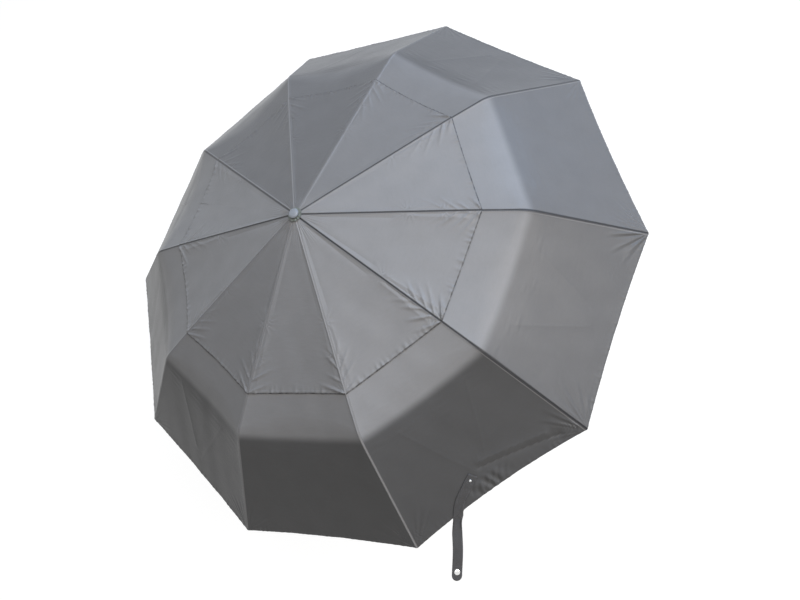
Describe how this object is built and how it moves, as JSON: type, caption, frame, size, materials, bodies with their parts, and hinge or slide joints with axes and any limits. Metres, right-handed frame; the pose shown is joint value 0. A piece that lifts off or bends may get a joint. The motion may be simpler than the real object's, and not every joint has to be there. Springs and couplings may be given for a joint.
{
  "type": "double canopy umbrella",
  "caption": "Folding umbrella shown open, with a vented double canopy on a three-section telescopic shaft, folding ribs, a short handle with a release button and a closure strap.",
  "frame": {"origin": "middle of the hand grip, on the shaft's axis", "axes": "+Z along the shaft from the grip to the apex; +X over the tenth rib, on the side of the release button; +Y completes a right-handed frame, with the closure strap on the rim at -X +Y"},
  "size_m": [1.05, 1.0426, 0.6403],
  "materials": {
    "canopy_cloth": "satin",
    "strap_cloth": "matte",
    "snap_metal": "satin",
    "shaft_steel": "satin",
    "spring_steel": "satin",
    "black_plastic": "satin",
    "soft_touch": "matte",
    "bright_metal": "polished",
    "cap_plastic": "satin",
    "rosette_plastic": "matte",
    "rib_metal": "satin",
    "rib_rod": "satin",
    "stretcher_metal": "satin"
  },
  "bodies": {
    "handle": {"handle": "soft_touch", "handle_collar": "bright_metal", "handle_end_cap": "black_plastic", "lower_tube": "shaft_steel", "button_spring": "spring_steel", "drive_spring": "spring_steel"},
    "release_button": {"release_button": "black_plastic"},
    "middle_tube": {"middle_tube": "shaft_steel"},
    "upper_tube": {"upper_tube": "shaft_steel", "crown": "black_plastic", "crown_wire": "spring_steel", "top_cap": "cap_plastic", "rosette": "rosette_plastic", "canopy_upper": "canopy_cloth", "canopy_lower": "canopy_cloth"},
    "runner": {"runner": "black_plastic", "runner_wire": "spring_steel"},
    "top_rib_1": {"top_rib_1": "rib_metal"},
    "middle_rib_1": {"middle_rib_1": "rib_metal"},
    "outer_rib_1": {"outer_rib_1": "rib_rod"},
    "stretcher_1": {"stretcher_1": "stretcher_metal"},
    "top_rib_2": {"top_rib_2": "rib_metal"},
    "middle_rib_2": {"middle_rib_2": "rib_metal"},
    "outer_rib_2": {"outer_rib_2": "rib_rod"},
    "stretcher_2": {"stretcher_2": "stretcher_metal"},
    "top_rib_3": {"top_rib_3": "rib_metal"},
    "middle_rib_3": {"middle_rib_3": "rib_metal"},
    "outer_rib_3": {"outer_rib_3": "rib_rod"},
    "stretcher_3": {"stretcher_3": "stretcher_metal"},
    "top_rib_4": {"top_rib_4": "rib_metal"},
    "middle_rib_4": {"middle_rib_4": "rib_metal"},
    "outer_rib_4": {"outer_rib_4": "rib_rod"},
    "stretcher_4": {"stretcher_4": "stretcher_metal"},
    "top_rib_5": {"top_rib_5": "rib_metal"},
    "middle_rib_5": {"middle_rib_5": "rib_metal"},
    "outer_rib_5": {"outer_rib_5": "rib_rod"},
    "stretcher_5": {"stretcher_5": "stretcher_metal"},
    "top_rib_6": {"top_rib_6": "rib_metal"},
    "middle_rib_6": {"middle_rib_6": "rib_metal"},
    "outer_rib_6": {"outer_rib_6": "rib_rod"},
    "stretcher_6": {"stretcher_6": "stretcher_metal"},
    "top_rib_7": {"top_rib_7": "rib_metal"},
    "middle_rib_7": {"middle_rib_7": "rib_metal"},
    "outer_rib_7": {"outer_rib_7": "rib_rod"},
    "stretcher_7": {"stretcher_7": "stretcher_metal"},
    "top_rib_8": {"top_rib_8": "rib_metal"},
    "middle_rib_8": {"middle_rib_8": "rib_metal"},
    "outer_rib_8": {"outer_rib_8": "rib_rod"},
    "stretcher_8": {"stretcher_8": "stretcher_metal"},
    "top_rib_9": {"top_rib_9": "rib_metal"},
    "middle_rib_9": {"middle_rib_9": "rib_metal"},
    "outer_rib_9": {"outer_rib_9": "rib_rod"},
    "stretcher_9": {"stretcher_9": "stretcher_metal"},
    "top_rib_10": {"top_rib_10": "rib_metal"},
    "middle_rib_10": {"middle_rib_10": "rib_metal"},
    "outer_rib_10": {"outer_rib_10": "rib_rod"},
    "stretcher_10": {"stretcher_10": "stretcher_metal"},
    "strap_tab": {"strap_tab": "strap_cloth"},
    "closure_strap": {"closure_strap": "strap_cloth", "snap_cap": "snap_metal"}
  },
  "joints": [
    {"name": "release_button_press", "type": "slide", "parent": "handle", "child": "release_button", "axis": [-1, 0, 0], "range_m": [0, 0.0022], "stiffness_N_per_m": 400, "springref_m": -0.001, "deforming": ["button_spring"]},
    {"name": "middle_tube_slide", "type": "slide", "parent": "handle", "child": "middle_tube", "axis": [0, 0, 1], "range_m": [-0.165, 0], "deforming": ["drive_spring"]},
    {"name": "upper_tube_slide", "type": "slide", "parent": "middle_tube", "child": "upper_tube", "axis": [0, 0, 1], "range_m": [-0.165, 0], "deforming": ["drive_spring"]},
    {"name": "canopy_fold", "type": "slide", "parent": "upper_tube", "child": "runner", "axis": [0, 0, 1], "range_m": [-0.10631, 0], "deforming": ["canopy_upper", "canopy_lower"]},
    {"name": "top_rib_1_hinge", "type": "hinge", "parent": "upper_tube", "child": "top_rib_1", "pos_m": [0.00849, -0.00617, 0.5806], "axis": [-0.5878, -0.809, 0], "range_deg": [-75.5, 0]},
    {"name": "middle_rib_1_hinge", "type": "hinge", "parent": "top_rib_1", "child": "middle_rib_1", "pos_m": [0.14352, -0.10427, 0.54707], "axis": [-0.5878, -0.809, 0], "range_deg": [0, 179.77]},
    {"name": "outer_rib_1_hinge", "type": "hinge", "parent": "middle_rib_1", "child": "outer_rib_1", "pos_m": [0.28919, -0.21011, 0.49735], "axis": [-0.5878, -0.809, 0], "range_deg": [-156.81, 0]},
    {"name": "stretcher_1_hinge", "type": "hinge", "parent": "top_rib_1", "child": "stretcher_1", "pos_m": [0.07168, -0.05208, 0.56328], "axis": [-0.5878, -0.809, 0], "range_deg": [0, 135.21]},
    {"name": "top_rib_2_hinge", "type": "hinge", "parent": "upper_tube", "child": "top_rib_2", "pos_m": [0.00324, -0.00999, 0.5806], "axis": [-0.9511, -0.309, 0], "range_deg": [-75.5, 0]},
    {"name": "middle_rib_2_hinge", "type": "hinge", "parent": "top_rib_2", "child": "middle_rib_2", "pos_m": [0.05482, -0.16871, 0.54707], "axis": [-0.9511, -0.309, 0], "range_deg": [0, 179.77]},
    {"name": "outer_rib_2_hinge", "type": "hinge", "parent": "middle_rib_2", "child": "outer_rib_2", "pos_m": [0.11046, -0.33996, 0.49735], "axis": [-0.9511, -0.309, 0], "range_deg": [-156.81, 0]},
    {"name": "stretcher_2_hinge", "type": "hinge", "parent": "top_rib_2", "child": "stretcher_2", "pos_m": [0.02738, -0.08427, 0.56328], "axis": [-0.9511, -0.309, 0], "range_deg": [0, 135.21]},
    {"name": "top_rib_3_hinge", "type": "hinge", "parent": "upper_tube", "child": "top_rib_3", "pos_m": [-0.00324, -0.00999, 0.5806], "axis": [-0.9511, 0.309, 0], "range_deg": [-75.5, 0]},
    {"name": "middle_rib_3_hinge", "type": "hinge", "parent": "top_rib_3", "child": "middle_rib_3", "pos_m": [-0.05482, -0.16871, 0.54707], "axis": [-0.9511, 0.309, 0], "range_deg": [0, 179.77]},
    {"name": "outer_rib_3_hinge", "type": "hinge", "parent": "middle_rib_3", "child": "outer_rib_3", "pos_m": [-0.11046, -0.33996, 0.49735], "axis": [-0.9511, 0.309, 0], "range_deg": [-156.81, 0]},
    {"name": "stretcher_3_hinge", "type": "hinge", "parent": "top_rib_3", "child": "stretcher_3", "pos_m": [-0.02738, -0.08427, 0.56328], "axis": [-0.9511, 0.309, 0], "range_deg": [0, 135.21]},
    {"name": "top_rib_4_hinge", "type": "hinge", "parent": "upper_tube", "child": "top_rib_4", "pos_m": [-0.00849, -0.00617, 0.5806], "axis": [-0.5878, 0.809, 0], "range_deg": [-75.5, 0]},
    {"name": "middle_rib_4_hinge", "type": "hinge", "parent": "top_rib_4", "child": "middle_rib_4", "pos_m": [-0.14352, -0.10427, 0.54707], "axis": [-0.5878, 0.809, 0], "range_deg": [0, 179.77]},
    {"name": "outer_rib_4_hinge", "type": "hinge", "parent": "middle_rib_4", "child": "outer_rib_4", "pos_m": [-0.28919, -0.21011, 0.49735], "axis": [-0.5878, 0.809, 0], "range_deg": [-156.81, 0]},
    {"name": "stretcher_4_hinge", "type": "hinge", "parent": "top_rib_4", "child": "stretcher_4", "pos_m": [-0.07168, -0.05208, 0.56328], "axis": [-0.5878, 0.809, 0], "range_deg": [0, 135.21]},
    {"name": "top_rib_5_hinge", "type": "hinge", "parent": "upper_tube", "child": "top_rib_5", "pos_m": [-0.0105, 0, 0.5806], "axis": [0, 1, 0], "range_deg": [-75.5, 0]},
    {"name": "middle_rib_5_hinge", "type": "hinge", "parent": "top_rib_5", "child": "middle_rib_5", "pos_m": [-0.17739, 0, 0.54707], "axis": [0, 1, 0], "range_deg": [0, 179.77]},
    {"name": "outer_rib_5_hinge", "type": "hinge", "parent": "middle_rib_5", "child": "outer_rib_5", "pos_m": [-0.35746, 0, 0.49735], "axis": [0, 1, 0], "range_deg": [-156.81, 0]},
    {"name": "stretcher_5_hinge", "type": "hinge", "parent": "top_rib_5", "child": "stretcher_5", "pos_m": [-0.08861, 0, 0.56328], "axis": [0, 1, 0], "range_deg": [0, 135.21]},
    {"name": "top_rib_6_hinge", "type": "hinge", "parent": "upper_tube", "child": "top_rib_6", "pos_m": [-0.00849, 0.00617, 0.5806], "axis": [0.5878, 0.809, 0], "range_deg": [-75.5, 0]},
    {"name": "middle_rib_6_hinge", "type": "hinge", "parent": "top_rib_6", "child": "middle_rib_6", "pos_m": [-0.14352, 0.10427, 0.54707], "axis": [0.5878, 0.809, 0], "range_deg": [0, 179.77]},
    {"name": "outer_rib_6_hinge", "type": "hinge", "parent": "middle_rib_6", "child": "outer_rib_6", "pos_m": [-0.28919, 0.21011, 0.49735], "axis": [0.5878, 0.809, 0], "range_deg": [-156.81, 0]},
    {"name": "stretcher_6_hinge", "type": "hinge", "parent": "top_rib_6", "child": "stretcher_6", "pos_m": [-0.07168, 0.05208, 0.56328], "axis": [0.5878, 0.809, 0], "range_deg": [0, 135.21]},
    {"name": "top_rib_7_hinge", "type": "hinge", "parent": "upper_tube", "child": "top_rib_7", "pos_m": [-0.00324, 0.00999, 0.5806], "axis": [0.9511, 0.309, 0], "range_deg": [-75.5, 0]},
    {"name": "middle_rib_7_hinge", "type": "hinge", "parent": "top_rib_7", "child": "middle_rib_7", "pos_m": [-0.05482, 0.16871, 0.54707], "axis": [0.9511, 0.309, 0], "range_deg": [0, 179.77]},
    {"name": "outer_rib_7_hinge", "type": "hinge", "parent": "middle_rib_7", "child": "outer_rib_7", "pos_m": [-0.11046, 0.33996, 0.49735], "axis": [0.9511, 0.309, 0], "range_deg": [-156.81, 0]},
    {"name": "stretcher_7_hinge", "type": "hinge", "parent": "top_rib_7", "child": "stretcher_7", "pos_m": [-0.02738, 0.08427, 0.56328], "axis": [0.9511, 0.309, 0], "range_deg": [0, 135.21]},
    {"name": "top_rib_8_hinge", "type": "hinge", "parent": "upper_tube", "child": "top_rib_8", "pos_m": [0.00324, 0.00999, 0.5806], "axis": [0.9511, -0.309, 0], "range_deg": [-75.5, 0]},
    {"name": "middle_rib_8_hinge", "type": "hinge", "parent": "top_rib_8", "child": "middle_rib_8", "pos_m": [0.05482, 0.16871, 0.54707], "axis": [0.9511, -0.309, 0], "range_deg": [0, 179.77]},
    {"name": "outer_rib_8_hinge", "type": "hinge", "parent": "middle_rib_8", "child": "outer_rib_8", "pos_m": [0.11046, 0.33996, 0.49735], "axis": [0.9511, -0.309, 0], "range_deg": [-156.81, 0]},
    {"name": "stretcher_8_hinge", "type": "hinge", "parent": "top_rib_8", "child": "stretcher_8", "pos_m": [0.02738, 0.08427, 0.56328], "axis": [0.9511, -0.309, 0], "range_deg": [0, 135.21]},
    {"name": "top_rib_9_hinge", "type": "hinge", "parent": "upper_tube", "child": "top_rib_9", "pos_m": [0.00849, 0.00617, 0.5806], "axis": [0.5878, -0.809, 0], "range_deg": [-75.5, 0]},
    {"name": "middle_rib_9_hinge", "type": "hinge", "parent": "top_rib_9", "child": "middle_rib_9", "pos_m": [0.14352, 0.10427, 0.54707], "axis": [0.5878, -0.809, 0], "range_deg": [0, 179.77]},
    {"name": "outer_rib_9_hinge", "type": "hinge", "parent": "middle_rib_9", "child": "outer_rib_9", "pos_m": [0.28919, 0.21011, 0.49735], "axis": [0.5878, -0.809, 0], "range_deg": [-156.81, 0]},
    {"name": "stretcher_9_hinge", "type": "hinge", "parent": "top_rib_9", "child": "stretcher_9", "pos_m": [0.07168, 0.05208, 0.56328], "axis": [0.5878, -0.809, 0], "range_deg": [0, 135.21]},
    {"name": "top_rib_10_hinge", "type": "hinge", "parent": "upper_tube", "child": "top_rib_10", "pos_m": [0.0105, 0, 0.5806], "axis": [0, -1, 0], "range_deg": [-75.5, 0]},
    {"name": "middle_rib_10_hinge", "type": "hinge", "parent": "top_rib_10", "child": "middle_rib_10", "pos_m": [0.17739, 0, 0.54707], "axis": [0, -1, 0], "range_deg": [0, 179.77]},
    {"name": "outer_rib_10_hinge", "type": "hinge", "parent": "middle_rib_10", "child": "outer_rib_10", "pos_m": [0.35746, 0, 0.49735], "axis": [0, -1, 0], "range_deg": [-156.81, 0]},
    {"name": "stretcher_10_hinge", "type": "hinge", "parent": "top_rib_10", "child": "stretcher_10", "pos_m": [0.08861, 0, 0.56328], "axis": [0, -1, 0], "range_deg": [0, 135.21]},
    {"name": "strap_gather", "type": "slide", "parent": "outer_rib_7", "child": "strap_tab", "axis": [0.809, 0.5878, 0], "range_m": [0, 0.08]},
    {"name": "closure_strap_swing", "type": "hinge", "parent": "strap_tab", "child": "closure_strap", "pos_m": [-0.22513, 0.46112, 0.37261], "axis": [-0.9105, -0.0728, -0.4071], "range_deg": [-30, 70]}
  ],
  "couplings": [
    {"joint": "top_rib_1_hinge", "follows": "canopy_fold", "rad_per_m": 12.395},
    {"joint": "middle_rib_1_hinge", "follows": "canopy_fold", "rad_per_m": -29.515},
    {"joint": "outer_rib_1_hinge", "follows": "canopy_fold", "rad_per_m": 25.744},
    {"joint": "stretcher_1_hinge", "follows": "canopy_fold", "rad_per_m": -22.199},
    {"joint": "top_rib_2_hinge", "follows": "canopy_fold", "rad_per_m": 12.395},
    {"joint": "middle_rib_2_hinge", "follows": "canopy_fold", "rad_per_m": -29.515},
    {"joint": "outer_rib_2_hinge", "follows": "canopy_fold", "rad_per_m": 25.744},
    {"joint": "stretcher_2_hinge", "follows": "canopy_fold", "rad_per_m": -22.199},
    {"joint": "top_rib_3_hinge", "follows": "canopy_fold", "rad_per_m": 12.395},
    {"joint": "middle_rib_3_hinge", "follows": "canopy_fold", "rad_per_m": -29.515},
    {"joint": "outer_rib_3_hinge", "follows": "canopy_fold", "rad_per_m": 25.744},
    {"joint": "stretcher_3_hinge", "follows": "canopy_fold", "rad_per_m": -22.199},
    {"joint": "top_rib_4_hinge", "follows": "canopy_fold", "rad_per_m": 12.395},
    {"joint": "middle_rib_4_hinge", "follows": "canopy_fold", "rad_per_m": -29.515},
    {"joint": "outer_rib_4_hinge", "follows": "canopy_fold", "rad_per_m": 25.744},
    {"joint": "stretcher_4_hinge", "follows": "canopy_fold", "rad_per_m": -22.199},
    {"joint": "top_rib_5_hinge", "follows": "canopy_fold", "rad_per_m": 12.395},
    {"joint": "middle_rib_5_hinge", "follows": "canopy_fold", "rad_per_m": -29.515},
    {"joint": "outer_rib_5_hinge", "follows": "canopy_fold", "rad_per_m": 25.744},
    {"joint": "stretcher_5_hinge", "follows": "canopy_fold", "rad_per_m": -22.199},
    {"joint": "top_rib_6_hinge", "follows": "canopy_fold", "rad_per_m": 12.395},
    {"joint": "middle_rib_6_hinge", "follows": "canopy_fold", "rad_per_m": -29.515},
    {"joint": "outer_rib_6_hinge", "follows": "canopy_fold", "rad_per_m": 25.744},
    {"joint": "stretcher_6_hinge", "follows": "canopy_fold", "rad_per_m": -22.199},
    {"joint": "top_rib_7_hinge", "follows": "canopy_fold", "rad_per_m": 12.395},
    {"joint": "middle_rib_7_hinge", "follows": "canopy_fold", "rad_per_m": -29.515},
    {"joint": "outer_rib_7_hinge", "follows": "canopy_fold", "rad_per_m": 25.744},
    {"joint": "stretcher_7_hinge", "follows": "canopy_fold", "rad_per_m": -22.199},
    {"joint": "top_rib_8_hinge", "follows": "canopy_fold", "rad_per_m": 12.395},
    {"joint": "middle_rib_8_hinge", "follows": "canopy_fold", "rad_per_m": -29.515},
    {"joint": "outer_rib_8_hinge", "follows": "canopy_fold", "rad_per_m": 25.744},
    {"joint": "stretcher_8_hinge", "follows": "canopy_fold", "rad_per_m": -22.199},
    {"joint": "top_rib_9_hinge", "follows": "canopy_fold", "rad_per_m": 12.395},
    {"joint": "middle_rib_9_hinge", "follows": "canopy_fold", "rad_per_m": -29.515},
    {"joint": "outer_rib_9_hinge", "follows": "canopy_fold", "rad_per_m": 25.744},
    {"joint": "stretcher_9_hinge", "follows": "canopy_fold", "rad_per_m": -22.199},
    {"joint": "top_rib_10_hinge", "follows": "canopy_fold", "rad_per_m": 12.395},
    {"joint": "middle_rib_10_hinge", "follows": "canopy_fold", "rad_per_m": -29.515},
    {"joint": "outer_rib_10_hinge", "follows": "canopy_fold", "rad_per_m": 25.744},
    {"joint": "stretcher_10_hinge", "follows": "canopy_fold", "rad_per_m": -22.199},
    {"joint": "strap_gather", "follows": "canopy_fold", "ratio": -0.75254}
  ]
}
